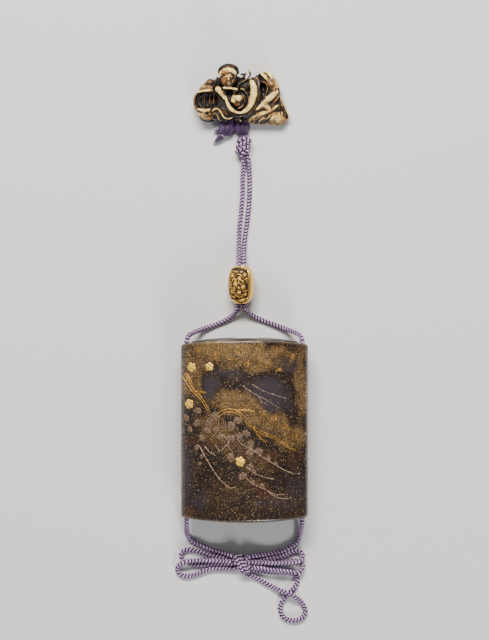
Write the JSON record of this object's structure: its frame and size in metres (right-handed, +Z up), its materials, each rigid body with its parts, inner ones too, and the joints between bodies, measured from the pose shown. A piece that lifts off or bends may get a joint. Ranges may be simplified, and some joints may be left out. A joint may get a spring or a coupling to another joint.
{
  "type": "inro case with cord, ojime and netsuke",
  "caption": "Flat lens-shaped lacquer case with a lid, hung on a braided silk cord with a sliding bead and a carved toggle, tied in a bow below, lying on its back.",
  "frame": {"origin": "middle of the small flat on the case's back, on which the case lies", "axes": "+X across the case, +Y along the cord towards the netsuke, +Z up out of the decorated face"},
  "size_m": [0.0629, 0.265, 0.0244],
  "materials": {
    "case_lacquer": "glossy dark brown lacquer on a thin wooden core, with sprinkled and raised gold and silver",
    "lid_lacquer": "glossy near-black lacquer on a thin wooden core, rubbed pale along the crest",
    "gilt_metal": "gilt metal in relief over dark recesses",
    "stained_antler": "polished cream antler or ivory, stained brown in the recesses",
    "silk_braid": "round braid of pale lavender and dark purple silk",
    "silk_floss": "dark purple silk floss laid in parallel fibres"
  },
  "bodies": {
    "root": {"case_body": "case_lacquer", "lid": "lid_lacquer", "ojime": "gilt_metal", "netsuke": "stained_antler", "silk_loop": "silk_floss", "barrel_knot": "silk_braid", "bow_knot": "silk_braid", "cord_left": "silk_braid", "cord_right": "silk_braid", "loop_upper_left": "silk_braid", "loop_lower_left": "silk_braid", "loop_upper_right": "silk_braid", "loop_lower_right": "silk_braid", "loop_hanging": "silk_braid"}
  },
  "joints": []
}
